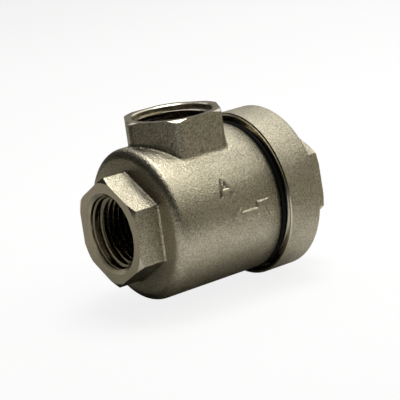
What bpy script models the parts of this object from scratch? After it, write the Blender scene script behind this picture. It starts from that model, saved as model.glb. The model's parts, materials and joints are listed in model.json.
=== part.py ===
"""Quick exhaust valve with half-inch ports: a body, a screwed end cap, a sliding cup seal and an O-ring.

The X axis runs through the exhaust port and the inlet port, and the Z axis direction is that of the outlet port.
The origin is the centre of the inlet port's mouth, where the supply pipe screws in and holds the valve.
"""

import math

import bmesh
import bpy
from mathutils import Matrix

MM = 0.001

# Fits: what is kept between pieces that touch on the real valve
SEAT_GAP = 0.3 * MM
THREAD_GAP = 0.3 * MM
CHAMBER_GAP = 0.3 * MM

# Ports: half-inch parallel pipe thread, whose crests are the wall of the plain bore here
THREAD_CREST_RADIUS = 9.32 * MM
PORT_MOUTH_CHAMFER = 2.38 * MM
PORT_MOUTH_RADIUS = THREAD_CREST_RADIUS + PORT_MOUTH_CHAMFER
PORT_FACE_MARGIN = 0.3 * MM
PORT_CHAMFER_ANGLE = math.radians(30)
DRILL_POINT_ANGLE = math.radians(60)
HEX_CORNER_RADIUS = 0.45 * MM

# Exhaust port, at the body's end
EXHAUST_RIM_WIDTH = 1.8 * MM
EXHAUST_ACROSS_FLATS = 2 * (PORT_MOUTH_RADIUS + EXHAUST_RIM_WIDTH)
EXHAUST_HEX_LENGTH = 8.0 * MM
EXHAUST_THREAD_DEPTH = 12.5 * MM
EXHAUST_ROOT_BLEND = 0.9 * MM

# Outlet port, on top of the body
OUTLET_RIM_WIDTH = 1.3 * MM
OUTLET_ACROSS_FLATS = 2 * (PORT_MOUTH_RADIUS + OUTLET_RIM_WIDTH)
OUTLET_BOSS_HEIGHT = 6.7 * MM
OUTLET_THREAD_DEPTH = 10.8 * MM
OUTLET_DRILL_STEP = 0.82 * MM
OUTLET_ROOT_BLEND = 1.3 * MM
OUTLET_FOOT_TO_END = 1.69 * MM
OUTLET_FOOT_TO_SHOULDER = 1.19 * MM

# Body, outside: the spigot takes the cap's thread and the neck takes the O-ring
BARREL_RADIUS = 21.5 * MM
BARREL_END_ROUNDING = 2.8 * MM
BARREL_JOINT_BEVEL = 0.9 * MM
JOINT_GAP = 1.2 * MM
SPIGOT_STEP = 1.0 * MM
SPIGOT_RADIUS = BARREL_RADIUS - SPIGOT_STEP
SPIGOT_END_CHAMFER = 0.8 * MM
NECK_STEP = 1.2 * MM
NECK_RADIUS = SPIGOT_RADIUS - NECK_STEP

# Body, inside: the nozzle tube stands in the chamber and carries the exhaust seat
END_WALL = 5.5 * MM
SPIGOT_WALL = 3.5 * MM
CHAMBER_RADIUS = SPIGOT_RADIUS - SPIGOT_WALL
CHAMBER_FLOOR_ROUNDING = 1.5 * MM
NOZZLE_BORE_STEP = 2.32 * MM
NOZZLE_BORE_RADIUS = THREAD_CREST_RADIUS - NOZZLE_BORE_STEP
NOZZLE_WALL = 1.8 * MM
NOZZLE_RADIUS = NOZZLE_BORE_RADIUS + NOZZLE_WALL
NOZZLE_TIP_CHAMFER = 0.8 * MM

# End cap
CAP_STEP = 2.2 * MM
CAP_RADIUS = BARREL_RADIUS + CAP_STEP
CAP_LENGTH = 10.9 * MM
CAP_EDGE_BREAK = 0.35 * MM
CAP_BACK_ROUNDING = 0.9 * MM
CAP_FRONT_LAND = 0.8 * MM
CAP_MOUTH_RADIUS = CAP_RADIUS - CAP_FRONT_LAND
CAP_WALL = 3.2 * MM

# Inlet port, on the end cap, and the boss of the inlet seat behind it
INLET_RIM_WIDTH = 1.8 * MM
INLET_ACROSS_FLATS = 2 * (PORT_MOUTH_RADIUS + INLET_RIM_WIDTH)
INLET_HEX_LENGTH = 9.4 * MM
INLET_HEX_TURN = math.radians(-3)
INLET_THREAD_DEPTH = 12.0 * MM
INLET_ROOT_BLEND = 0.7 * MM
INLET_BORE_STEP = 1.82 * MM
INLET_BORE_RADIUS = THREAD_CREST_RADIUS - INLET_BORE_STEP
INLET_BOSS_WALL = 3.0 * MM
INLET_BOSS_RADIUS = INLET_BORE_RADIUS + INLET_BOSS_WALL
INLET_BOSS_LENGTH = 6.5 * MM
INLET_BOSS_CHAMFER = 1.2 * MM

# Cup seal, at rest on the inlet seat, with pads that cover both seats
SEAL_STROKE = 3.0 * MM
SEAL_THICKNESS = 3.8 * MM
SEAL_PAD_HEIGHT = 0.6 * MM
SEAL_PAD_MARGIN = 1.4 * MM
SEAL_PAD_RADIUS = NOZZLE_RADIUS + SEAL_PAD_MARGIN
SEAL_LIP_LENGTH = 4.6 * MM
SEAL_LIP_THICKNESS = 1.1 * MM
SEAL_LIP_ROOT_THICKNESS = 1.9 * MM
SEAL_WAIST = 0.5 * MM

# O-ring in the neck behind the spigot's thread
O_RING_CORD_RADIUS = 0.9 * MM

# How finely round forms are divided
BARREL_SIDES = 72
PORT_SIDES = 48
SEAL_SIDES = 60
O_RING_SIDES = 60
O_RING_CORD_SIDES = 12
FLAT_STEPS = 4
CORNER_STEPS = 3
BLEND_STEPS = 4

# The divisions of a port's lathe work lie this far round from those of the body and of its own flats
LATHE_OFFSET = math.radians(1.3)

# Helper bodies run this far past what they cut
OVERRUN = 2.0 * MM
# A helper body starts this far under the surface that it grows out of
SINK = 0.05 * MM

# Heights over the X axis
OUTLET_HEIGHT = BARREL_RADIUS + OUTLET_BOSS_HEIGHT
OUTLET_DRILL_RADIUS = THREAD_CREST_RADIUS - OUTLET_DRILL_STEP

# Lengths along X, counted from the outlet port's axis: its foot stays clear of both ends of the barrel
OUTLET_FOOT_REACH = OUTLET_ACROSS_FLATS / 2 / math.cos(math.radians(30)) + OUTLET_ROOT_BLEND
EXHAUST_REACH = OUTLET_FOOT_REACH + OUTLET_FOOT_TO_END + EXHAUST_HEX_LENGTH
SHOULDER_REACH = OUTLET_FOOT_REACH + OUTLET_FOOT_TO_SHOULDER
INLET_REACH = SHOULDER_REACH + JOINT_GAP + CAP_LENGTH + INLET_HEX_LENGTH

# Stations along X, from the origin at the inlet face
OUTLET_X = -INLET_REACH
EXHAUST_FACE_X = OUTLET_X - EXHAUST_REACH
BARREL_END_X = EXHAUST_FACE_X + EXHAUST_HEX_LENGTH
CAP_BACK_X = -INLET_HEX_LENGTH
CAP_FRONT_X = CAP_BACK_X - CAP_LENGTH
SHOULDER_X = CAP_FRONT_X - JOINT_GAP
CAP_FLOOR_X = CAP_BACK_X - CAP_WALL
SPIGOT_END_X = CAP_FLOOR_X - THREAD_GAP
CHAMBER_FLOOR_X = BARREL_END_X + END_WALL
INLET_SEAT_X = CAP_FLOOR_X - INLET_BOSS_LENGTH
SEAL_BACK_X = INLET_SEAT_X - SEAT_GAP
SEAL_FRONT_X = SEAL_BACK_X - SEAL_THICKNESS
EXHAUST_SEAT_X = SEAL_FRONT_X - SEAL_STROKE - SEAT_GAP


def clear_scene():
    for obj in list(bpy.data.objects):
        bpy.data.objects.remove(obj, do_unlink=True)


def finish_object(name, mesh_data, sharp_angle=math.radians(32)):
    """A mesh object from a bmesh, closed, facing outwards and shaded smooth between its sharp edges."""
    bmesh.ops.remove_doubles(mesh_data, verts=mesh_data.verts, dist=0.0005 * MM)
    bmesh.ops.dissolve_degenerate(mesh_data, edges=mesh_data.edges, dist=0.0005 * MM)
    bmesh.ops.recalc_face_normals(mesh_data, faces=mesh_data.faces)
    mesh = bpy.data.meshes.new(name)
    mesh_data.to_mesh(mesh)
    mesh_data.free()
    mesh.shade_smooth()
    mesh.set_sharp_from_angle(angle=sharp_angle)
    obj = bpy.data.objects.new(name, mesh)
    bpy.context.scene.collection.objects.link(obj)
    return obj


def arc(centre_x, centre_r, radius, start_degrees, end_degrees, steps):
    """Points (x, r) on an arc of a turned profile; 0 degrees points along X, 90 degrees outwards."""
    points = []
    for step in range(steps + 1):
        angle = math.radians(start_degrees + (end_degrees - start_degrees) * step / steps)
        points.append((centre_x + radius * math.cos(angle), centre_r + radius * math.sin(angle)))
    return points


def turned(name, profile, sides):
    """The solid that a closed profile of (x, r) points makes when it is turned about the X axis."""
    mesh_data = bmesh.new()
    points = [mesh_data.verts.new((x, 0, r)) for x, r in profile]
    sweeping = [pair for pair in zip(points[-1:] + points, points) if pair[0].co.z or pair[1].co.z]
    edges = [mesh_data.edges.new(pair) for pair in sweeping]
    bmesh.ops.spin(
        mesh_data,
        geom=points + edges,
        cent=(0, 0, 0),
        axis=(1, 0, 0),
        angle=math.tau,
        steps=sides,
        use_merge=True,
    )
    return finish_object(name, mesh_data)


def hexagon_outline(across_flats, corner_radius, turn):
    """Points (u, v) and outward directions round a hexagon with rounded corners, one corner on the u axis."""
    apothem = across_flats / 2
    centre_distance = (apothem - corner_radius) / math.cos(math.radians(30))
    outline = []
    for side in range(6):
        middle = math.radians(60 * side) + turn
        centre = (centre_distance * math.cos(middle), centre_distance * math.sin(middle))
        corner = []
        for step in range(CORNER_STEPS + 1):
            angle = middle + math.radians(-30 + 60 * step / CORNER_STEPS)
            way = (math.cos(angle), math.sin(angle))
            corner.append(((centre[0] + corner_radius * way[0], centre[1] + corner_radius * way[1]), way))
        outline += corner
        start, way = corner[-1]
        flat_length = 2 * centre_distance * math.sin(math.radians(30))
        along = (-way[1], way[0])
        for step in range(1, FLAT_STEPS):
            distance = flat_length * step / FLAT_STEPS
            outline.append(((start[0] + along[0] * distance, start[1] + along[1] * distance), way))
    return outline


def hex_blank(name, outline, reach, surface, blend, depth):
    """A hexagonal bar along its own Z that flares out to meet the surface it stands on.

    surface(u, v) is the height of that surface. The bar ends flat at depth, inside the piece that it grows from.
    """
    mesh_data = bmesh.new()

    def ring(place):
        return [mesh_data.verts.new(place(point, way)) for point, way in outline]

    def straight(height):
        return lambda point, way: (point[0], point[1], height)

    def flare(part):
        def place(point, way):
            foot = (point[0] + way[0] * blend, point[1] + way[1] * blend)
            top = surface(*point) + blend
            corner = surface(*point)
            end = surface(*foot) - SINK
            height = (1 - part) ** 2 * top + 2 * part * (1 - part) * corner + part**2 * end
            out = part**2 * blend
            return (point[0] + way[0] * out, point[1] + way[1] * out, height)

        return place

    rings = [ring(straight(reach))]
    rings += [ring(flare(step / BLEND_STEPS)) for step in range(BLEND_STEPS + 1)]
    rings.append(ring(straight(depth)))
    for upper, lower in zip(rings, rings[1:]):
        for i in range(len(outline)):
            mesh_data.faces.new((upper[i - 1], upper[i], lower[i], lower[i - 1]))
    mesh_data.faces.new(rings[0])
    mesh_data.faces.new(rings[-1][::-1])
    return finish_object(name, mesh_data)


def hex_port(name, across_flats, turn, reach, surface, blend, depth, placed):
    """A hexagonal port boss: the bar above, with its end faced and its corners chamfered in the lathe."""
    outline = hexagon_outline(across_flats, HEX_CORNER_RADIUS, turn)
    bar = hex_blank(name, outline, reach + OVERRUN, surface, blend, depth)
    face_radius = across_flats / 2 + PORT_FACE_MARGIN
    outer_radius = across_flats
    slope_height = (outer_radius - face_radius) * math.tan(PORT_CHAMFER_ANGLE)
    envelope = turned(
        name + "_lathe_envelope",
        [
            (reach, 0),
            (reach, face_radius),
            (reach - slope_height, outer_radius),
            (depth - OVERRUN, outer_radius),
            (depth - OVERRUN, 0),
        ],
        BARREL_SIDES,
    )
    envelope.data.transform(Matrix.Rotation(math.radians(-90), 4, "Y") @ Matrix.Rotation(LATHE_OFFSET, 4, "X"))
    for helper in (bar, envelope):
        helper.data.transform(placed)
    combine(bar, envelope, "INTERSECT")
    return bar


def port_bore_cutter(name, face, inwards, thread_depth, bore_radius, bore_end):
    """The hole of a threaded port: mouth chamfer, thread crests, drill point and the plain bore behind it.

    face is the station of the port's face, inwards is +1 or -1, and bore_end is the station where the bore stops.
    """
    mouth_over = PORT_MOUTH_RADIUS + OVERRUN
    cone = (THREAD_CREST_RADIUS - bore_radius) / math.tan(DRILL_POINT_ANGLE)
    profile = [
        (face - inwards * OVERRUN, 0),
        (face - inwards * OVERRUN, mouth_over),
        (face + inwards * PORT_MOUTH_CHAMFER, THREAD_CREST_RADIUS),
        (face + inwards * thread_depth, THREAD_CREST_RADIUS),
        (face + inwards * (thread_depth + cone), bore_radius),
        (bore_end, bore_radius),
        (bore_end, 0),
    ]
    cutter = turned(name, profile, PORT_SIDES)
    cutter.data.transform(Matrix.Rotation(LATHE_OFFSET, 4, "X"))
    return cutter


def hide_helper(obj):
    obj.hide_render = True
    obj.display_type = "WIRE"


def combine(target, tool, operation):
    """Joins, cuts or trims the target with a helper body, which stays out of the render."""
    modifier = target.modifiers.new(operation.title() + " " + tool.name, "BOOLEAN")
    modifier.operation = operation
    modifier.solver = "EXACT"
    modifier.object = tool
    hide_helper(tool)


def plated_brass():
    return material("nickel_plated_brass", (0.52, 0.48, 0.39), 0.42, 1.0)


def seal_rubber():
    return material("black_seal_rubber", (0.02, 0.02, 0.02), 0.55, 0.0)


def material(name, colour, roughness, metallic):
    made = bpy.data.materials.new(name)
    made.use_nodes = True
    shader = made.node_tree.nodes["Principled BSDF"]
    shader.inputs["Base Color"].default_value = (*colour, 1)
    shader.inputs["Roughness"].default_value = roughness
    shader.inputs["Metallic"].default_value = metallic
    made.diffuse_color = (*colour, 1)
    return made


def barrel_blank():
    """The turned outside of the body: rounded end, barrel, joint bevel, neck and spigot."""
    neck_end_x = SHOULDER_X + 2 * (SEAT_GAP + O_RING_CORD_RADIUS)
    flat_radius = BARREL_RADIUS - BARREL_END_ROUNDING
    profile = [(BARREL_END_X, 0)]
    profile += arc(BARREL_END_X + BARREL_END_ROUNDING, flat_radius, BARREL_END_ROUNDING, 180, 90, 6)
    profile += [
        (SHOULDER_X - BARREL_JOINT_BEVEL, BARREL_RADIUS),
        (SHOULDER_X, BARREL_RADIUS - BARREL_JOINT_BEVEL),
        (SHOULDER_X, NECK_RADIUS),
        (neck_end_x, NECK_RADIUS),
        (neck_end_x + (SPIGOT_RADIUS - NECK_RADIUS), SPIGOT_RADIUS),
        (SPIGOT_END_X - SPIGOT_END_CHAMFER, SPIGOT_RADIUS),
        (SPIGOT_END_X, SPIGOT_RADIUS - SPIGOT_END_CHAMFER),
        (SPIGOT_END_X, 0),
    ]
    return turned("valve_body", profile, BARREL_SIDES)


def chamber_cutter():
    """The space bored from the spigot's end, round the nozzle tube that stays standing in the middle."""
    rounding = CHAMBER_FLOOR_ROUNDING
    floor_x = CHAMBER_FLOOR_X
    profile = [(EXHAUST_SEAT_X, 0), (EXHAUST_SEAT_X, NOZZLE_RADIUS - NOZZLE_TIP_CHAMFER)]
    profile.append((EXHAUST_SEAT_X - NOZZLE_TIP_CHAMFER, NOZZLE_RADIUS))
    profile += arc(floor_x + rounding, NOZZLE_RADIUS + rounding, rounding, -90, -180, 4)
    profile += arc(floor_x + rounding, CHAMBER_RADIUS - rounding, rounding, 180, 90, 4)
    profile += [(SPIGOT_END_X + OVERRUN, CHAMBER_RADIUS), (SPIGOT_END_X + OVERRUN, 0)]
    return turned("chamber_cutter", profile, BARREL_SIDES)


def exhaust_bore_cutter():
    bore_end = EXHAUST_SEAT_X + OVERRUN
    return port_bore_cutter(
        "exhaust_bore_cutter", EXHAUST_FACE_X, 1, EXHAUST_THREAD_DEPTH, NOZZLE_BORE_RADIUS, bore_end
    )


def outlet_bore_cutter():
    """The outlet's thread and the drilled hole that opens into the chamber, stopping short of the nozzle."""
    drill_end = (CHAMBER_RADIUS + NOZZLE_RADIUS) / 2
    cutter = port_bore_cutter(
        "outlet_bore_cutter", OUTLET_HEIGHT, -1, OUTLET_THREAD_DEPTH, OUTLET_DRILL_RADIUS, drill_end
    )
    cutter.data.transform(Matrix.Rotation(math.radians(-90), 4, "Y"))
    cutter.data.transform(Matrix.Translation((OUTLET_X, 0, 0)))
    return cutter


def barrel_surface(u, v):
    """Height of the barrel over its axis, at u along it from the outlet's axis and v across it."""
    into_rounding = max(0, BARREL_END_X + BARREL_END_ROUNDING - (OUTLET_X + u))
    drop = BARREL_END_ROUNDING - math.sqrt(BARREL_END_ROUNDING**2 - into_rounding**2)
    return math.sqrt((BARREL_RADIUS - drop) ** 2 - v**2)


def make_valve_body():
    body = barrel_blank()
    exhaust_port = hex_port(
        "exhaust_port_blank",
        EXHAUST_ACROSS_FLATS,
        0,
        EXHAUST_REACH,
        lambda u, v: EXHAUST_REACH - EXHAUST_HEX_LENGTH,
        EXHAUST_ROOT_BLEND,
        EXHAUST_REACH - EXHAUST_HEX_LENGTH - END_WALL / 2,
        Matrix.Translation((OUTLET_X, 0, 0)) @ Matrix.Rotation(math.radians(-90), 4, "Y"),
    )
    outlet_port = hex_port(
        "outlet_port_blank",
        OUTLET_ACROSS_FLATS,
        0,
        OUTLET_HEIGHT,
        barrel_surface,
        OUTLET_ROOT_BLEND,
        NOZZLE_RADIUS,
        Matrix.Translation((OUTLET_X, 0, 0)),
    )
    combine(body, exhaust_port, "UNION")
    combine(body, outlet_port, "UNION")
    combine(body, chamber_cutter(), "DIFFERENCE")
    combine(body, exhaust_bore_cutter(), "DIFFERENCE")
    combine(body, outlet_bore_cutter(), "DIFFERENCE")
    body.data.materials.append(plated_brass())


def cap_blank():
    """The turned outside of the end cap, solid as yet."""
    profile = [
        (CAP_FRONT_X, 0),
        (CAP_FRONT_X, CAP_RADIUS - CAP_EDGE_BREAK),
        (CAP_FRONT_X + CAP_EDGE_BREAK, CAP_RADIUS),
    ]
    profile += arc(CAP_BACK_X - CAP_BACK_ROUNDING, CAP_RADIUS - CAP_BACK_ROUNDING, CAP_BACK_ROUNDING, 90, 0, 4)
    profile.append((CAP_BACK_X, 0))
    return turned("end_cap", profile, BARREL_SIDES)


def cap_socket_cutter():
    """The space that takes the spigot, round the boss of the inlet seat."""
    bore_radius = SPIGOT_RADIUS + THREAD_GAP
    mouth_depth = CAP_MOUTH_RADIUS - bore_radius
    profile = [
        (CAP_FRONT_X - OVERRUN, 0),
        (CAP_FRONT_X - OVERRUN, CAP_MOUTH_RADIUS + OVERRUN),
        (CAP_FRONT_X + mouth_depth, bore_radius),
        (CAP_FLOOR_X, bore_radius),
        (CAP_FLOOR_X, INLET_BOSS_RADIUS),
        (INLET_SEAT_X + INLET_BOSS_CHAMFER, INLET_BOSS_RADIUS),
        (INLET_SEAT_X, INLET_BOSS_RADIUS - INLET_BOSS_CHAMFER),
        (INLET_SEAT_X, 0),
    ]
    return turned("cap_socket_cutter", profile, BARREL_SIDES)


def inlet_bore_cutter():
    bore_end = INLET_SEAT_X - OVERRUN
    return port_bore_cutter("inlet_bore_cutter", 0, -1, INLET_THREAD_DEPTH, INLET_BORE_RADIUS, bore_end)


def make_end_cap():
    cap = cap_blank()
    inlet_port = hex_port(
        "inlet_port_blank",
        INLET_ACROSS_FLATS,
        INLET_HEX_TURN,
        0,
        lambda u, v: CAP_BACK_X,
        INLET_ROOT_BLEND,
        CAP_BACK_X - CAP_WALL / 2,
        Matrix.Rotation(math.radians(90), 4, "Y"),
    )
    combine(cap, inlet_port, "UNION")
    combine(cap, cap_socket_cutter(), "DIFFERENCE")
    combine(cap, inlet_bore_cutter(), "DIFFERENCE")
    cap.data.materials.append(plated_brass())


def make_cup_seal():
    """The cup seal, turned about its own axis with its front pad's face at its origin."""
    outer_radius = CHAMBER_RADIUS - CHAMBER_GAP
    web_front = SEAL_PAD_HEIGHT
    web_back = SEAL_THICKNESS - SEAL_PAD_HEIGHT
    lip_tip = web_front - SEAL_LIP_LENGTH
    lip_inside = outer_radius - SEAL_LIP_THICKNESS
    root_inside = outer_radius - SEAL_LIP_ROOT_THICKNESS
    tip_round = SEAL_LIP_THICKNESS / 2
    edge = SEAL_PAD_HEIGHT
    profile = [
        (0, 0),
        (0, SEAL_PAD_RADIUS - edge),
        (web_front, SEAL_PAD_RADIUS),
        (web_front, root_inside - edge),
        (web_front - edge, root_inside),
    ]
    profile += arc(lip_tip + tip_round, outer_radius - tip_round, tip_round, 270, 90, 6)
    profile += [
        (web_front - SEAL_LIP_LENGTH / 3, outer_radius - SEAL_WAIST),
        (web_front, outer_radius - SEAL_WAIST),
        (web_back - edge, outer_radius),
        (web_back, outer_radius - edge),
        (web_back, SEAL_PAD_RADIUS),
        (SEAL_THICKNESS, SEAL_PAD_RADIUS - edge),
        (SEAL_THICKNESS, 0),
    ]
    seal = turned("cup_seal", profile, SEAL_SIDES)
    seal.location.x = SEAL_FRONT_X
    seal.data.materials.append(seal_rubber())


def make_o_ring():
    """The O-ring, resting in the corner of neck and shoulder."""
    ring_radius = NECK_RADIUS + SEAT_GAP + O_RING_CORD_RADIUS
    profile = arc(0, ring_radius, O_RING_CORD_RADIUS, 0, 360, O_RING_CORD_SIDES)[:-1]
    ring = turned("cap_o_ring", profile, O_RING_SIDES)
    ring.location.x = SHOULDER_X + SEAT_GAP + O_RING_CORD_RADIUS
    ring.data.materials.append(seal_rubber())


def main():
    clear_scene()
    make_valve_body()
    make_end_cap()
    make_cup_seal()
    make_o_ring()


main()
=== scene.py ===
"""Looks of the quick exhaust valve: nickel-plated brass, forged, blasted and machined, with rubber seals in it.

Shapes are worked out in millimetres in the part's own frame and brought to metres when a piece is finished.
"""

import json
import math

import bmesh
import bpy
from mathutils import Matrix, Vector

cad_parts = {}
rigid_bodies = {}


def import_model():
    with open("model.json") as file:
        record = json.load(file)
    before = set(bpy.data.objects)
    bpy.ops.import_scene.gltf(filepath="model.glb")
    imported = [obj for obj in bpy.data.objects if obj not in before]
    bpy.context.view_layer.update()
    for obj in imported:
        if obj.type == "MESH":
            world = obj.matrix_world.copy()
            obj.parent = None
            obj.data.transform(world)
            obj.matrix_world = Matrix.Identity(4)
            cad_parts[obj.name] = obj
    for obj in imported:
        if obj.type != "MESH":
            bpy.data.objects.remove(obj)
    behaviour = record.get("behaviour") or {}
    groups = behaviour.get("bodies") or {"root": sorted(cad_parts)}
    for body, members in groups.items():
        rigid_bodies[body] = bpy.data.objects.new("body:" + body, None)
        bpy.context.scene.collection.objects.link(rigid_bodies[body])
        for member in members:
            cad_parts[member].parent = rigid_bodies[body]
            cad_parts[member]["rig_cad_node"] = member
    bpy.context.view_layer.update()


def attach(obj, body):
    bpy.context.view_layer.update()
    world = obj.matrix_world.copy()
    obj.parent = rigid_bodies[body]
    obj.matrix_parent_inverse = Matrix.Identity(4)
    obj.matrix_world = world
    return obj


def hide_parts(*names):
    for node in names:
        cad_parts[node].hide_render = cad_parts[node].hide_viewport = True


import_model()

MM = 0.001

# Stations along the X axis, in millimetres from the inlet port's face
EXHAUST_FACE = -65.0
BARREL_END = -57.0
CHAMBER_FLOOR = -51.5
OUTLET_AXIS = -39.0
EXHAUST_SEAT = -26.5
SEAL_FRONT = -23.2
SHOULDER = -21.5
CAP_FRONT = -20.3
INLET_SEAT = -19.1
SPIGOT_END = -12.9
CAP_FLOOR = -12.6
CAP_BACK = -9.4
INLET_FACE = 0.0

# Sizes across, in millimetres
BARREL_RADIUS = 21.5
BARREL_END_ROUNDING = 2.8
CAP_RADIUS = 23.7
CAP_MOUTH_RADIUS = 22.9
CAP_CHAMBER_RADIUS = 10.5
INLET_SEAT_RADIUS = 9.3
NECK_RADIUS = 19.3
SPIGOT_RADIUS = 20.5
CHAMBER_RADIUS = 17.0
NOZZLE_RADIUS = 8.8
EXHAUST_FLATS = 27.0
OUTLET_FLATS = 26.0
INLET_FLATS = 27.0
OUTLET_HEIGHT = 28.2
INLET_TURN = math.radians(-3)

# Half-inch parallel pipe thread
PIPE_PITCH = 1.814
PIPE_CREST = 9.32
PIPE_ROOT = 10.48
PIPE_FLANK = math.tan(math.radians(27.5))
ROOT_ROUNDING = 0.14
ROOT_FLAT = 0.16
TAP_RUN_OUT = 0.9
DRILL_POINT = math.radians(60)

# The ports' mouths as (depth, radius) from the face inwards, and where the tap starts, in pitches from the face
END_MOUTH, END_LEAD = [(0, 11.35), (0.85, 10.4), (4.3, 9.4)], -0.87
OUTLET_MOUTH, OUTLET_LEAD = [(0, 11.6), (0.3, 11.3), (1.4, 11.25), (1.6, 9.6)], -1.58
RIM_BREAK = 0.12

# Outlines of the marks on the barrel's side, as (x, s) points with s measured round it from -Y
LETTER_SHAPE = [
    (-41.6, 6.2), (-40.3, 6.2), (-39.87, 7.55), (-37.93, 7.55), (-37.5, 6.2), (-36.2, 6.2), (-38.3, 11.8),
    (-39.5, 11.8),
]
LETTER_HOLE = [(-39.6, 8.6), (-38.2, 8.6), (-38.9, 10.0)]
ARROW_SHAPE = [
    (-38.5, 0.3), (-35.6, 2.6), (-35.4, 1.35), (-30.6, 1.35), (-30.3, 2.9), (-26.0, 2.9), (-27.2, 0.3),
    (-26.0, -2.3), (-30.3, -2.3), (-30.6, -0.75), (-35.4, -0.75), (-35.6, -2.0),
]

# Their wall, the bevel above it, and how deep the wall's foot is sunk, which leaves them 0.5 mm proud
MARK_WALL = 0.55
MARK_BEVEL_RISE = 0.35
MARK_BEVEL_WIDTH = 0.46
MARK_FOOT = 0.4

# How finely round forms are divided, how far a tool runs past what it cuts and a flare into what it meets
BARREL_SIDES = 180
PORT_SIDES = 120
TAP_SIDES = 96
SEAL_SIDES = 160
OVERRUN = 2.0
SINK = 0.04
SHARP_ANGLE = math.radians(28)

# The studio
FLOOR = -CAP_RADIUS
FLOOR_OWN_WHITE = 0.85
MATTE = 0.9
WHITE = (0.99, 0.99, 0.99)


# ---------------------------------------------------------------- shapes


def new_piece(name, shape, material):
    """A mesh object from a bmesh, its doubled points merged and its faces turned outwards."""
    bmesh.ops.remove_doubles(shape, verts=shape.verts, dist=0.0005)
    bmesh.ops.recalc_face_normals(shape, faces=shape.faces)
    mesh = bpy.data.meshes.new(name)
    shape.to_mesh(mesh)
    shape.free()
    mesh.materials.append(material)
    piece = bpy.data.objects.new(name, mesh)
    bpy.context.scene.collection.objects.link(piece)
    return piece


def only(kind, items):
    return [item for item in items if isinstance(item, kind)]


def closed_line(shape, points):
    """Vertices at the points, and edges that join them to a ring."""
    verts = [shape.verts.new(point) for point in points]
    return verts, [shape.edges.new(pair) for pair in zip(verts[-1:] + verts, verts)]


def arc(centre, radius, start, end, steps):
    """Points (x, r) on an arc; 0 degrees points along X and 90 degrees outwards."""
    angles = [math.radians(start + (end - start) * step / steps) for step in range(steps + 1)]
    return [(centre[0] + radius * math.cos(a), centre[1] + radius * math.sin(a)) for a in angles]


def turned(name, profile, sides, material, offset=0.0):
    """A closed profile of (x, r) points turned about the X axis, its divisions set round by offset degrees."""
    shape = bmesh.new()
    points = [shape.verts.new((x, 0, r)) for x, r in profile]
    off_axis = [pair for pair in zip(points[-1:] + points, points) if pair[0].co.z or pair[1].co.z]
    edges = [shape.edges.new(pair) for pair in off_axis]
    bmesh.ops.rotate(shape, verts=points, matrix=Matrix.Rotation(math.radians(offset), 3, "X"))
    bmesh.ops.spin(
        shape, geom=points + edges, cent=(0, 0, 0), axis=(1, 0, 0), angle=math.tau, steps=sides, use_merge=True
    )
    return new_piece(name, shape, material)


def coil(name, section, start, end, pitch, sides, material, offset):
    """A closed section of (x, r) points led round and along the X axis as a thread-cutting tool goes."""
    shape = bmesh.new()
    points, edges = closed_line(shape, [(start + x, 0, r) for x, r in section])
    turns = (end - start) / pitch
    steps = round(turns * sides)
    bmesh.ops.rotate(shape, verts=points, matrix=Matrix.Rotation(math.radians(offset), 3, "X"))
    bmesh.ops.spin(
        shape,
        geom=points + edges,
        cent=(0, 0, 0),
        axis=(1, 0, 0),
        dvec=((end - start) / steps, 0, 0),
        angle=math.tau * turns,
        steps=steps,
    )
    bmesh.ops.holes_fill(shape, edges=shape.edges)
    return new_piece(name, shape, material)


def combine(target, operation, *tools):
    """Boolean modifiers that stay live until the piece is finished."""
    for tool in tools:
        modifier = target.modifiers.new(operation.title(), "BOOLEAN")
        modifier.operation = operation
        modifier.solver = "EXACT"
        modifier.material_mode = "TRANSFER"
        modifier.object = tool


def hex_bar(name, across_flats, corner, turn, top, surface, blend, depth, material):
    """A forged hexagonal bar down Z from top to depth, one corner towards X, that flares onto surface(u, v).

    The corners are rounded with the radius corner, and the flare is as wide and as high as blend.
    """
    corner_steps, flat_cuts, flare_steps = 6, 11, 10
    shape = bmesh.new()
    bmesh.ops.create_circle(
        shape,
        cap_ends=True,
        radius=across_flats / 2 / math.cos(math.radians(30)),
        segments=6,
        matrix=Matrix.Rotation(turn + math.radians(30), 4, "Z"),
    )
    bmesh.ops.bevel(
        shape,
        geom=shape.verts[:],
        offset=corner * math.tan(math.radians(30)),
        offset_type="OFFSET",
        segments=corner_steps,
        profile=0.5,
        affect="VERTICES",
        material=-1,
    )
    flats = [edge for edge in shape.edges if edge.calc_length() > across_flats / 4]
    bmesh.ops.subdivide_edges(shape, edges=flats, cuts=flat_cuts)
    outline = shape.verts.layers.float_vector.new("outline")
    outward = shape.verts.layers.float_vector.new("outward")
    for vert in shape.verts:
        vert[outline] = vert.co
        way = Vector()
        for edge in vert.link_edges:
            along = edge.other_vert(vert).co - vert.co
            normal = along.cross(Vector((0, 0, 1))).normalized()
            way += normal if normal.dot(vert.co) > 0 else -normal
        vert[outward] = way.normalized()
        vert.co.z = top

    def flare(vert, part):
        """A vertex on the curve that leads from the straight wall, at part 0, to the foot, at part 1."""
        point, way = vert[outline], vert[outward]
        foot = point + way * blend
        wall = surface(point.x, point.y)
        end = surface(foot.x, foot.y) - SINK
        height = (1 - part) ** 2 * (wall + blend) + 2 * part * (1 - part) * wall + part**2 * end
        place = point + way * part**2 * blend
        return place.x, place.y, height

    levels = [lambda vert, part=step / flare_steps: flare(vert, part) for step in range(flare_steps + 1)]
    levels.append(lambda vert: (vert[outline].x, vert[outline].y, depth))
    face = shape.faces[:][0]
    for place in levels:
        made = bmesh.ops.extrude_face_region(shape, geom=[face, *face.edges, *face.verts])["geom"]
        face = only(bmesh.types.BMFace, made)[0]
        for vert in only(bmesh.types.BMVert, made):
            vert.co = place(vert)
    return new_piece(name, shape, material)


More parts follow.
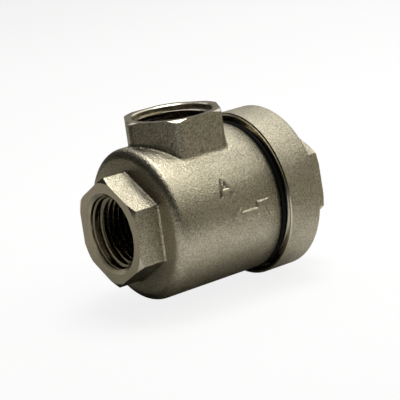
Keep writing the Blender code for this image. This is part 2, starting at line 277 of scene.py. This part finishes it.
def hex_port(
    name, across_flats, corner, margin, chamfer, turn, reach, surface, blend, depth, placed, forged, machined
):
    """A port's hexagon, forged and then faced on the lathe at its reach.

    The chamfer, in degrees from the face, cuts the corners only: it starts the margin outside the flats.
    """
    bar = hex_bar(name, across_flats, corner, turn, reach + OVERRUN, surface, blend, depth, forged)
    face = across_flats / 2 + margin
    outer = across_flats
    slope = (outer - face) * math.tan(math.radians(chamfer))
    bottom = depth - OVERRUN
    profile = [(reach, 0), (reach, face), (reach - slope, outer), (bottom, outer), (bottom, 0)]
    envelope = turned(name + "_envelope", profile, PORT_SIDES, machined, offset=1.3)
    envelope.data.transform(Matrix.Rotation(math.radians(-90), 4, "Y"))
    for piece in (bar, envelope):
        piece.data.transform(placed)
    combine(bar, "INTERSECT", envelope)
    return bar


def port_bore(name, mouth, lead, thread_depth, bore_radius, bore_depth, placed, machined, threaded):
    """What drill and tap take out of a port; before it is placed its face is at x = 0 and its bore runs to +X.

    The mouth goes on to the thread's crests as steep as the thread's own flanks.
    """
    rim = mouth[0][1]
    last, last_radius = mouth[-1]
    profile = [
        (-OVERRUN, 0),
        (-OVERRUN, rim + OVERRUN + RIM_BREAK),
        (0, rim + RIM_BREAK),
        (RIM_BREAK, rim - RIM_BREAK / 2),
        *mouth[1:],
        (last + (last_radius - PIPE_CREST) * PIPE_FLANK, PIPE_CREST),
        (thread_depth, PIPE_CREST),
        (thread_depth + (PIPE_CREST - bore_radius) / math.tan(DRILL_POINT), bore_radius),
        (bore_depth, bore_radius),
        (bore_depth, 0),
    ]
    drill = turned(name + "_drill", profile, PORT_SIDES, machined, offset=2.1)
    drill.data.materials.append(threaded)
    threaded_within = PIPE_ROOT - 0.25
    for face in drill.data.polygons:
        face.material_index = int(math.hypot(face.center.y, face.center.z) < threaded_within)
    middle = (PIPE_CREST + PIPE_ROOT) / 2

    def flank_point(radius):
        return PIPE_PITCH / 4 + (middle - radius) * PIPE_FLANK, radius

    half = [flank_point(PIPE_CREST - 0.2), flank_point(PIPE_ROOT - ROOT_ROUNDING), (ROOT_FLAT / 2, PIPE_ROOT)]
    section = [(-x, r) for x, r in half] + half[::-1]
    start, end = lead * PIPE_PITCH, thread_depth - TAP_RUN_OUT
    tap = coil(name + "_tap", section, start, end, PIPE_PITCH, TAP_SIDES, threaded, offset=0.7)
    for tool in (drill, tap):
        tool.data.transform(placed)
    combine(drill, "UNION", tap)
    return drill


def barrel_surface(u, v):
    """Height of the barrel over the X axis, at u along it from the outlet's axis and v across it."""
    into_rounding = max(0, BARREL_END + BARREL_END_ROUNDING - (OUTLET_AXIS + u))
    drop = BARREL_END_ROUNDING - math.sqrt(BARREL_END_ROUNDING**2 - into_rounding**2)
    return math.sqrt((BARREL_RADIUS - drop) ** 2 - v**2)


def raised_mark(name, loops, material):
    """Closed outlines raised flat, cut into strips 1 mm wide and bent round the barrel's side."""
    shape = bmesh.new()
    edges = []
    for loop in loops:
        edges += closed_line(shape, [(x, s, 0) for x, s in loop])[1]
    bmesh.ops.triangle_fill(shape, use_beauty=True, edges=edges)
    bmesh.ops.dissolve_limit(shape, angle_limit=0.01, verts=shape.verts[:], edges=shape.edges[:])
    made = bmesh.ops.extrude_face_region(shape, geom=shape.faces[:])["geom"]
    faces = only(bmesh.types.BMFace, made)
    bmesh.ops.translate(shape, verts=only(bmesh.types.BMVert, made), vec=(0, 0, MARK_WALL))
    bmesh.ops.inset_region(shape, faces=faces, thickness=MARK_BEVEL_WIDTH, use_even_offset=True)
    top = {vert for face in faces for vert in face.verts}
    bmesh.ops.translate(shape, verts=list(top), vec=(0, 0, MARK_BEVEL_RISE))
    bmesh.ops.translate(shape, verts=shape.verts, vec=(0, 0, -MARK_FOOT))
    for strip in range(-12, 13):
        geometry = shape.verts[:] + shape.edges[:] + shape.faces[:]
        bmesh.ops.bisect_plane(shape, geom=geometry, plane_co=(0, strip + 0.37, 0), plane_no=(0, 1, 0))
    for vert in shape.verts:
        angle = vert.co.y / BARREL_RADIUS
        radius = BARREL_RADIUS + vert.co.z
        vert.co = (vert.co.x, -radius * math.cos(angle), radius * math.sin(angle))
    return new_piece(name, shape, material)


# ---------------------------------------------------------------- finishes


def shader_tree(name):
    """A new material, its nodes and its shader."""
    material = bpy.data.materials.new(name)
    material.use_nodes = True
    tree = material.node_tree
    return material, tree, tree.nodes["Principled BSDF"]


def object_place(tree):
    return tree.nodes.new("ShaderNodeTexCoord").outputs["Object"]


def add_node(tree, kind, values=(), links=()):
    """A node with its properties and sockets set and its links made."""
    node = tree.nodes.new(kind)
    for key, value in values:
        if isinstance(key, str) and hasattr(node, key):
            setattr(node, key, value)
        else:
            node.inputs[key].default_value = value
    for socket, source in links:
        tree.links.new(source, node.inputs[socket])
    return node


def noise(tree, where, scale, detail=2.0, rough=0.5):
    values = (("Scale", scale), ("Detail", detail), ("Roughness", rough))
    return add_node(tree, "ShaderNodeTexNoise", values, (("Vector", where),)).outputs["Fac"]


def spread(tree, value, low, high, source_low=0.35, source_high=0.65, curve="LINEAR"):
    """Stretches a value over a range of its own; as a rule a noise, which keeps near its middle."""
    values = (("interpolation_type", curve), (1, source_low), (2, source_high), (3, low), (4, high))
    return add_node(tree, "ShaderNodeMapRange", values, ((0, value),)).outputs[0]


def mixed(tree, share, first, second):
    """One colour giving way to another as the share goes from 0 to 1."""
    values = (("data_type", "RGBA"), (6, (*first, 1)), (7, (*second, 1)))
    return add_node(tree, "ShaderNodeMix", values, ((0, share),)).outputs[2]


def blended(tree, how, first, second):
    """Two colours that come from nodes, added or multiplied."""
    values = (("data_type", "RGBA"), ("blend_type", how), (0, 1.0))
    return add_node(tree, "ShaderNodeMix", values, ((6, first), (7, second))).outputs[2]


def bumped(tree, height, distance, strength=1.0, normal=None):
    links = (("Height", height),) + ((("Normal", normal),) if normal else ())
    return add_node(tree, "ShaderNodeBump", (("Strength", strength), ("Distance", distance)), links).outputs[0]


def blasted_nickel(name, shine, roughness):
    """Shot-blasted nickel plate over the forging's own slight unevenness."""
    material, tree, shader = shader_tree(name)
    where = object_place(tree)
    grain = noise(tree, where, 2350, 1.5, 0.6)
    fine = noise(tree, where, 5200, 0.0)
    cloud = noise(tree, where, 160)
    waves = noise(tree, where, 330, 1.0)
    dull = [part * shine for part in (0.28, 0.255, 0.185)]
    bright = [part * shine for part in (0.52, 0.475, 0.36)]
    tint = mixed(tree, spread(tree, grain, 0.0, 1.0), dull, bright)
    colour = blended(tree, "MULTIPLY", tint, spread(tree, cloud, 0.9, 1.0))
    tree.links.new(colour, shader.inputs["Base Color"])
    tree.links.new(spread(tree, fine, roughness - 0.05, roughness + 0.05), shader.inputs["Roughness"])
    shader.inputs["Metallic"].default_value = 1.0
    dented = bumped(tree, waves, 0.00004)
    tree.links.new(bumped(tree, grain, 0.000165, normal=dented), shader.inputs["Normal"])
    return material


def turned_nickel(name, roughness, colour):
    """Nickel plate over turned brass: smoother, with faint tool marks."""
    material, tree, shader = shader_tree(name)
    mark = noise(tree, object_place(tree), 900)
    rough = spread(tree, mark, roughness * 0.8, roughness * 1.2, 0.3, 0.7)
    tree.links.new(rough, shader.inputs["Roughness"])
    shader.inputs["Base Color"].default_value = (*colour, 1)
    shader.inputs["Metallic"].default_value = 1.0
    tree.links.new(bumped(tree, mark, 0.00001, 0.4), shader.inputs["Normal"])
    return material


def black_rubber(name, roughness):
    """Moulded rubber, nearly without a shine of its own."""
    material, tree, shader = shader_tree(name)
    mottle = noise(tree, object_place(tree), 1400, 3.0)
    tree.links.new(mixed(tree, mottle, [0.003] * 3, [0.009] * 3), shader.inputs["Base Color"])
    shader.inputs["Roughness"].default_value = roughness
    shader.inputs["Specular IOR Level"].default_value = 0.1
    tree.links.new(bumped(tree, mottle, 0.00002, 0.3), shader.inputs["Normal"])
    return material


# ---------------------------------------------------------------- pieces


def finish_piece(piece, body, node):
    """Applies what shapes the piece, brings it to metres and hands it to its body in place of its CAD node."""
    graph = bpy.context.evaluated_depsgraph_get()
    mesh = bpy.data.meshes.new_from_object(piece.evaluated_get(graph))
    mesh.transform(Matrix.Scale(MM, 4))
    mesh.shade_smooth()
    mesh.set_sharp_from_angle(angle=SHARP_ANGLE)
    piece.modifiers.clear()
    piece.data = mesh
    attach(piece, body)
    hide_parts(node)


def make_body(forged, machined, threaded):
    """The forging, with two hexagons and its marks, then turned, bored and tapped; a bevel ends the barrel."""
    rounding, bevel_length, bevel_drop = BARREL_END_ROUNDING, 1.2, 0.6
    outside = [(BARREL_END, 0)] + arc((BARREL_END + rounding, BARREL_RADIUS - rounding), rounding, 180, 90, 14)
    outside += [(SHOULDER - bevel_length, BARREL_RADIUS), (SHOULDER + 0.05, BARREL_RADIUS - bevel_drop)]
    outside += [(SHOULDER + 0.5, BARREL_RADIUS), (SPIGOT_END, BARREL_RADIUS), (SPIGOT_END, 0)]
    body = turned("forged_valve_body", outside, BARREL_SIDES, forged)
    exhaust = hex_port(
        "exhaust_hexagon",
        across_flats=EXHAUST_FLATS,
        corner=0.5,
        margin=0.7,
        chamfer=28,
        turn=0,
        reach=OUTLET_AXIS - EXHAUST_FACE,
        surface=lambda u, v: OUTLET_AXIS - BARREL_END,
        blend=0.8,
        depth=OUTLET_AXIS - BARREL_END - 2.5,
        placed=Matrix.Translation((OUTLET_AXIS, 0, 0)) @ Matrix.Rotation(math.radians(-90), 4, "Y"),
        forged=forged,
        machined=machined,
    )
    outlet = hex_port(
        "outlet_hexagon",
        across_flats=OUTLET_FLATS,
        corner=2.2,
        margin=0.7,
        chamfer=30,
        turn=0,
        reach=OUTLET_HEIGHT,
        surface=barrel_surface,
        blend=1.0,
        depth=NOZZLE_RADIUS,
        placed=Matrix.Translation((OUTLET_AXIS, 0, 0)),
        forged=forged,
        machined=machined,
    )
    neck_end, neck_slope, spigot_chamfer = SHOULDER + 2.4, 1.2, 0.8
    past_end = SPIGOT_END + OVERRUN
    turning = turned(
        "spigot_turning",
        [
            (SHOULDER, BARREL_RADIUS + OVERRUN),
            (SHOULDER, NECK_RADIUS),
            (neck_end, NECK_RADIUS),
            (neck_end + neck_slope, SPIGOT_RADIUS),
            (SPIGOT_END - spigot_chamfer, SPIGOT_RADIUS),
            (past_end, SPIGOT_RADIUS - spigot_chamfer - OVERRUN),
            (past_end, BARREL_RADIUS + OVERRUN),
        ],
        BARREL_SIDES,
        machined,
        offset=0.9,
    )
    seat, seat_edge, corner = EXHAUST_SEAT, 0.8, 1.5
    chamber = turned(
        "chamber_boring",
        [(seat, 0), (seat, NOZZLE_RADIUS - seat_edge), (seat - seat_edge, NOZZLE_RADIUS)]
        + arc((CHAMBER_FLOOR + corner, NOZZLE_RADIUS + corner), corner, -90, -180, 6)
        + arc((CHAMBER_FLOOR + corner, CHAMBER_RADIUS - corner), corner, 180, 90, 6)
        + [(past_end, CHAMBER_RADIUS), (past_end, 0)],
        BARREL_SIDES,
        machined,
        offset=0.4,
    )
    exhaust_bore = port_bore(
        "exhaust",
        END_MOUTH,
        END_LEAD,
        thread_depth=12.5,
        bore_radius=7.0,
        bore_depth=EXHAUST_SEAT + OVERRUN - EXHAUST_FACE,
        placed=Matrix.Translation((EXHAUST_FACE, 0, 0)),
        machined=machined,
        threaded=threaded,
    )
    outlet_bore = port_bore(
        "outlet",
        OUTLET_MOUTH,
        OUTLET_LEAD,
        thread_depth=10.8,
        bore_radius=8.5,
        bore_depth=OUTLET_HEIGHT - 12.9,
        placed=Matrix.Translation((OUTLET_AXIS, 0, OUTLET_HEIGHT)) @ Matrix.Rotation(math.radians(90), 4, "Y"),
        machined=machined,
        threaded=threaded,
    )
    letter = raised_mark("port_letter", [LETTER_SHAPE, LETTER_HOLE], forged)
    arrow = raised_mark("flow_arrow", [ARROW_SHAPE], forged)
    combine(body, "UNION", exhaust, outlet, letter, arrow)
    combine(body, "DIFFERENCE", turning, chamber, exhaust_bore, outlet_bore)
    return body


def make_cap(forged, machined, threaded):
    """The forging with one hexagon, then faced, bored for the spigot and the seal, and tapped."""
    rounding, spare = 0.9, 1
    blank = [(CAP_FRONT - spare, 0), (CAP_FRONT - spare, CAP_RADIUS)]
    blank += arc((CAP_BACK - rounding, CAP_RADIUS - rounding), rounding, 90, 0, 8) + [(CAP_BACK, 0)]
    cap = turned("forged_end_cap", blank, BARREL_SIDES, forged)
    inlet = hex_port(
        "inlet_hexagon",
        across_flats=INLET_FLATS,
        corner=0.5,
        margin=0.6,
        chamfer=20,
        turn=INLET_TURN,
        reach=INLET_FACE,
        surface=lambda u, v: CAP_BACK,
        blend=0.7,
        depth=CAP_BACK - 1.6,
        placed=Matrix.Rotation(math.radians(90), 4, "Y"),
        forged=forged,
        machined=machined,
    )
    edge_break, seat_edge, socket = 0.3, 1.2, SPIGOT_RADIUS + 0.3
    outer = CAP_RADIUS + OVERRUN
    facing = turned(
        "socket_boring",
        [
            (CAP_FRONT - OVERRUN, 0),
            (CAP_FRONT - OVERRUN, outer),
            (CAP_FRONT + edge_break + OVERRUN, outer),
            (CAP_FRONT, CAP_RADIUS - edge_break),
            (CAP_FRONT, CAP_MOUTH_RADIUS),
            (CAP_FRONT + CAP_MOUTH_RADIUS - socket, socket),
            (CAP_FLOOR, socket),
            (CAP_FLOOR, CAP_CHAMBER_RADIUS),
            (INLET_SEAT + seat_edge, CAP_CHAMBER_RADIUS),
            (INLET_SEAT, INLET_SEAT_RADIUS),
            (INLET_SEAT, 0),
        ],
        BARREL_SIDES,
        machined,
        offset=0.9,
    )
    inlet_bore = port_bore(
        "inlet",
        END_MOUTH,
        END_LEAD,
        thread_depth=12.0,
        bore_radius=7.5,
        bore_depth=-INLET_SEAT + OVERRUN,
        placed=Matrix.Rotation(math.radians(180), 4, "Z"),
        machined=machined,
        threaded=threaded,
    )
    combine(cap, "UNION", inlet)
    combine(cap, "DIFFERENCE", facing, inlet_bore)
    return cap


def make_cup_seal(rubber):
    """A disc with a round pad on each face and a lip round its edge that points away from the inlet."""
    outer, pad, edge = CHAMBER_RADIUS - 0.3, 10.2, 0.5
    front, back, total = 0.6, 3.2, 3.8
    lip, lip_root, lip_length = 1.1, 1.9, 4.6
    relief, relief_length = 0.5, 1.5
    profile = [(0, 0), (0, pad - edge)] + arc((edge, pad - edge), edge, 180, 90, 4)[1:]
    profile += [(front, pad), (front, outer - lip_root - edge), (front - edge, outer - lip_root)]
    profile += arc((front - lip_length + lip / 2, outer - lip / 2), lip / 2, 270, 90, 10)
    profile += [(front - relief_length, outer - relief), (front, outer - relief)]
    profile += arc((back - edge, outer - edge), edge, 90, 0, 4)
    profile += [(back, pad)] + arc((total - edge, pad - edge), edge, 90, 0, 4)[1:] + [(total, 0)]
    seal = turned("rubber_cup_seal", profile, SEAL_SIDES, rubber)
    seal.data.transform(Matrix.Translation((SEAL_FRONT, 0, 0)))
    return seal


def make_o_ring(rubber):
    section_radius, gap = 0.9, 0.3
    centre = (SHOULDER + gap + section_radius, NECK_RADIUS + gap + section_radius)
    profile = arc(centre, section_radius, 0, 360, 24)[:-1]
    return turned("rubber_o_ring", profile, SEAL_SIDES, rubber)


forged = blasted_nickel("blasted_body_nickel", 1.0, 0.32)
forged_cap = blasted_nickel("blasted_cap_nickel", 0.9, 0.44)
machined = turned_nickel("turned_nickel", 0.22, (0.5, 0.46, 0.36))
threaded = turned_nickel("threaded_nickel", 0.16, (0.3, 0.27, 0.2))
finish_piece(make_body(forged, machined, threaded), "housing", "valve_body")
finish_piece(make_cap(forged_cap, machined, threaded), "housing", "end_cap")
finish_piece(make_cup_seal(black_rubber("seal_rubber", 0.5)), "seal", "cup_seal")
finish_piece(make_o_ring(black_rubber("o_ring_rubber", 0.55)), "housing", "cap_o_ring")
kept = {"forged_valve_body", "forged_end_cap", "rubber_cup_seal", "rubber_o_ring"}
for piece in [item for item in bpy.data.objects if item.type == "MESH"]:
    if piece.name not in kept and "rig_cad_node" not in piece:
        bpy.data.objects.remove(piece)


# ---------------------------------------------------------------- studio


def pale_floor():
    """A plain floor under the cap's rim, which the camera and the metal see mostly as a lit white ground."""
    material, tree, shader = shader_tree("pale_floor")
    shader.inputs["Base Color"].default_value = (0.93, 0.93, 0.93, 1)
    shader.inputs["Roughness"].default_value = MATTE
    white = add_node(tree, "ShaderNodeEmission", (("Color", (*WHITE, 1)), ("Strength", 1.0)))
    rays = tree.nodes.new("ShaderNodeLightPath").outputs
    links = ((0, rays["Is Camera Ray"]), (1, rays["Is Glossy Ray"]))
    seen = add_node(tree, "ShaderNodeMath", (("operation", "MAXIMUM"),), links)
    values = (("operation", "MULTIPLY"), (1, FLOOR_OWN_WHITE))
    share = add_node(tree, "ShaderNodeMath", values, ((0, seen.outputs[0]),))
    links = ((0, share.outputs[0]), (1, shader.outputs[0]), (2, white.outputs[0]))
    ground = add_node(tree, "ShaderNodeMixShader", (), links)
    tree.links.new(ground.outputs[0], tree.nodes["Material Output"].inputs["Surface"])
    shape = bmesh.new()
    bmesh.ops.create_circle(shape, cap_ends=True, radius=4000, segments=96)
    floor = new_piece("pale_floor", shape, material)
    floor.data.transform(Matrix.Scale(MM, 4) @ Matrix.Translation((-32, 0, FLOOR - 0.1)))


def toned(tree, value, tones):
    """Colours that follow a length in metres, by (millimetres, colour) tones."""
    bottom, top = tones[0][0], tones[-1][0]
    share = spread(tree, value, 0.0, 1.0, bottom * MM, top * MM)
    ramp = add_node(tree, "ShaderNodeValToRGB", (), ((0, share),))
    while len(ramp.color_ramp.elements) < len(tones):
        ramp.color_ramp.elements.new(0.5)
    for mark, (height, colour) in zip(ramp.color_ramp.elements, tones):
        mark.position = (height - bottom) / (top - bottom)
        mark.color = (*colour, 1)
    return ramp.outputs["Color"]


def stage_card(name, shape, material):
    """A piece of the studio that only the metal's reflections see."""
    card = new_piece(name, shape, material)
    card.data.transform(Matrix.Scale(MM, 4))
    card.visible_camera = False
    card.visible_diffuse = False
    card.visible_shadow = False


def flag(name, start, end, bottom, top, tones, axis="Z"):
    """An upright card between two points on the ground, its (place, colour) tones going along an axis."""
    material, tree, shader = shader_tree(name)
    level = add_node(tree, "ShaderNodeSeparateXYZ", (), ((0, object_place(tree)),)).outputs[axis]
    tree.links.new(toned(tree, level, tones), shader.inputs["Base Color"])
    shader.inputs["Roughness"].default_value = MATTE
    shape = bmesh.new()
    edge = shape.edges.new([shape.verts.new((*point, bottom)) for point in (start, end)])
    made = bmesh.ops.extrude_edge_only(shape, edges=[edge])["geom"]
    bmesh.ops.translate(shape, verts=only(bmesh.types.BMVert, made), vec=(0, 0, top - bottom))
    stage_card(name, shape, material)


def floor_shade(name, centre, stretch, tones):
    """A painted shadow: a dark card under the object, seen only in reflections, that stands in for its shadow
    on the floor and deepens what the undersides reflect; its (distance, colour) tones go out.
    """
    material, tree, shader = shader_tree(name)
    values = (("operation", "MULTIPLY"), (1, (1 / stretch, 1, 0)))
    scaled = add_node(tree, "ShaderNodeVectorMath", values, ((0, object_place(tree)),)).outputs[0]
    values = (("operation", "DISTANCE"), (1, (centre[0] / stretch * MM, centre[1] * MM, 0)))
    away = add_node(tree, "ShaderNodeVectorMath", values, ((0, scaled),)).outputs["Value"]
    tree.links.new(toned(tree, away, tones), shader.inputs["Base Color"])
    shader.inputs["Roughness"].default_value = MATTE
    shape = bmesh.new()
    place = Matrix.Translation((*centre, FLOOR - 0.05)) @ Matrix.Diagonal((stretch, 1, 1, 1))
    bmesh.ops.create_circle(shape, cap_ends=True, radius=tones[-1][0], segments=96, matrix=place)
    stage_card(name, shape, material)


def softbox(name, place, target, width, height, watts):
    """A white area light at a place, facing a target, all in millimetres."""
    lamp = bpy.data.lights.new(name, "AREA")
    lamp.shape = "RECTANGLE"
    lamp.size = width * MM
    lamp.size_y = height * MM
    lamp.energy = watts
    box = bpy.data.objects.new(name, lamp)
    bpy.context.scene.collection.objects.link(box)
    box.location = Vector(place) * MM
    way = (Vector(target) - Vector(place)).normalized()
    box.rotation_mode = "QUATERNION"
    box.rotation_quaternion = way.to_track_quat("-Z", "Y")


def studio_world(base, glows):
    """A dim room with glows, by direction, inner and outer angle and colour; the camera sees it as white."""
    world = bpy.data.worlds.new("studio")
    bpy.context.scene.world = world
    world.use_nodes = True
    tree = world.node_tree
    way = tree.nodes.new("ShaderNodeTexCoord").outputs["Generated"]
    light = tree.nodes.new("ShaderNodeRGB").outputs[0]
    light.default_value = (*base, 1)
    for direction, inner, outer, colour in glows:
        values = (("operation", "DOT_PRODUCT"), (1, Vector(direction).normalized()))
        facing = add_node(tree, "ShaderNodeVectorMath", values, ((0, way),)).outputs["Value"]
        dim, full = math.cos(math.radians(outer)), math.cos(math.radians(inner))
        fade = spread(tree, facing, 0.0, 1.0, dim, full, "SMOOTHSTEP")
        light = blended(tree, "ADD", light, mixed(tree, fade, (0, 0, 0), colour))
    seen = tree.nodes.new("ShaderNodeLightPath").outputs["Is Camera Ray"]
    values = (("data_type", "RGBA"), (7, (*WHITE, 1)))
    room = add_node(tree, "ShaderNodeMix", values, ((0, seen), (6, light)))
    tree.links.new(room.outputs[2], tree.nodes["Background"].inputs["Color"])


def add_camera():
    """The photograph's point of view, found by fitting the part's edges to it."""
    camera = bpy.data.cameras.new("camera")
    camera.lens = 143.2633
    camera.sensor_width = 36
    eye = bpy.data.objects.new("camera", camera)
    bpy.context.scene.collection.objects.link(eye)
    right = Vector((0.7905435, -0.59741975, -0.13464995))
    up = Vector((0.24794715, 0.11119451, 0.96237103))
    back = Vector((-0.55996713, -0.79418223, 0.23603262))
    place = Matrix((right, up, back)).transposed().to_4x4()
    place.translation = Vector((-284.83, -356.19, 107.38)) * MM
    eye.matrix_world = place
    bpy.context.scene.camera = eye


bpy.context.scene.view_settings.view_transform = "Standard"
pale_floor()
key_glow = ((0.44, -0.72, 0.54), 12, 50, (0.8, 0.78, 0.7))
back_glow = ((0.56, 0.79, 0.24), 8, 40, (0.2, 0.19, 0.165))
studio_world((0.012, 0.012, 0.01), [key_glow, back_glow])
softbox("top_softbox", (330, 100, 380), (330, 100, 0), 780, 900, 2.95)
softbox("key_softbox", (28, 0, 400), (28, 0, 0), 190, 190, 0.88)
black, dusk, haze, grey = (0.02, 0.02, 0.02), (0.3, 0.29, 0.24), (0.3, 0.29, 0.25), (0.46, 0.44, 0.39)
flag("left_flag", (-110, -20), (0, 190), FLOOR, 106, [(-22, dusk), (-13, grey), (9, grey), (12, black)])
flag("front_left_flag", (-152, -100), (-110, -20), -3, 40, [(-3, grey), (5, grey), (9, black)])
flag("back_flag", (0, 190), (170, 150), FLOOR, 20, [(0, haze), (20, haze)])
flag("camera_flag", (-172, -100), (-40, -190), FLOOR, 14, [(0, black), (10, black)])
paling = [(-28, (0.44, 0.42, 0.36)), (-8, (0.85, 0.82, 0.72)), (110, (0.92, 0.9, 0.79))]
flag("right_flag", (-80, -130), (110, 60), FLOOR, 36, [(-80, black), (-48, black)] + paling, "X")
# Painted shadow under the object: near black at its middle, paling to the floor's grey outwards
shade = [(18, (0.03, 0.03, 0.03)), (33, (0.48, 0.47, 0.44)), (46, (0.85, 0.84, 0.82)), (60, (0.93, 0.93, 0.93))]
floor_shade("floor_shade", (-50, 22), 1.2, shade)
add_camera()
